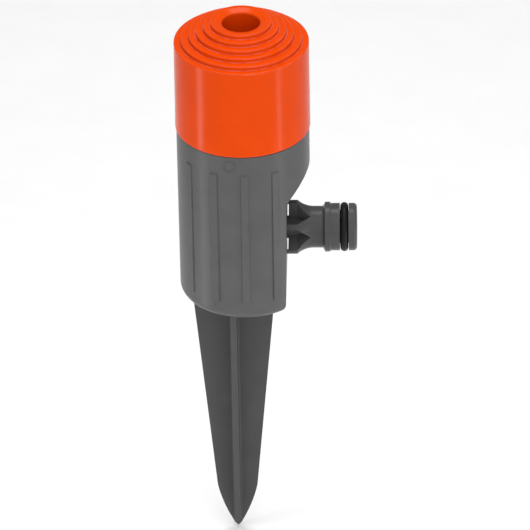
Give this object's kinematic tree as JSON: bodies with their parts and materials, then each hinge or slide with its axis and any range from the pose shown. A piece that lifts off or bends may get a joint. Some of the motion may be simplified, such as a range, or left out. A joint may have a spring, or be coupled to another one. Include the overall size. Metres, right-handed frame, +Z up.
{
  "type": "spike sprinkler",
  "caption": "Spray sprinkler on a ground spike: stepped screw cap with a central spray throat, ribbed casing and a side quick-connect hose stub.",
  "frame": {"origin": "where the ground spike's axis crosses the casing's flat underside", "axes": "+Z up along the spike and the spray axis, +X along the hose connector away from the casing"},
  "size_m": [0.0626, 0.047, 0.208],
  "materials": {
    "casing_plastic": "moulded grey plastic, fine satin grain",
    "spike_plastic": "moulded dark grey plastic, satin",
    "connector_plastic": "moulded dark grey plastic, semi-gloss",
    "cap_plastic": "moulded orange plastic, soft gloss",
    "inner_plastic": "moulded black plastic",
    "seal_rubber": "black sealing rubber",
    "steel": "stainless steel"
  },
  "bodies": {
    "base": {"casing": "casing_plastic", "ground_spike": "spike_plastic", "spike_screw": "steel", "hose_connector": "connector_plastic", "connector_o_ring": "seal_rubber", "spigot_o_ring": "seal_rubber", "connector_clip": "steel", "filter_frame": "inner_plastic", "filter_mesh": "steel", "inlet_elbow": "inner_plastic", "elbow_end_plug": "inner_plastic", "elbow_screws": "steel", "riser_tube": "inner_plastic", "riser_seal": "seal_rubber", "riser_guide": "inner_plastic", "guide_clip_ring": "steel", "flow_needle": "inner_plastic", "neck_o_ring": "seal_rubber"},
    "seal": {"sleeve_seal": "seal_rubber"},
    "cap": {"spray_cap": "cap_plastic", "nozzle_insert": "inner_plastic", "nozzle_o_ring": "seal_rubber", "swirl_plate": "inner_plastic", "nozzle_spacer": "inner_plastic", "sleeve_nut": "inner_plastic"}
  },
  "joints": [
    {"name": "cap_lift", "type": "slide", "parent": "base", "child": "seal", "axis": [0, 0, 1], "range_m": [0, 0.00401]},
    {"name": "cap_turn", "type": "hinge", "parent": "seal", "child": "cap", "pos_m": [0.0042, 0, 0.08], "axis": [0, 0, 1], "range_deg": [0, 120]}
  ],
  "couplings": [
    {"joint": "cap_lift", "follows": "cap_turn", "m_per_rad": 0.0019099}
  ]
}
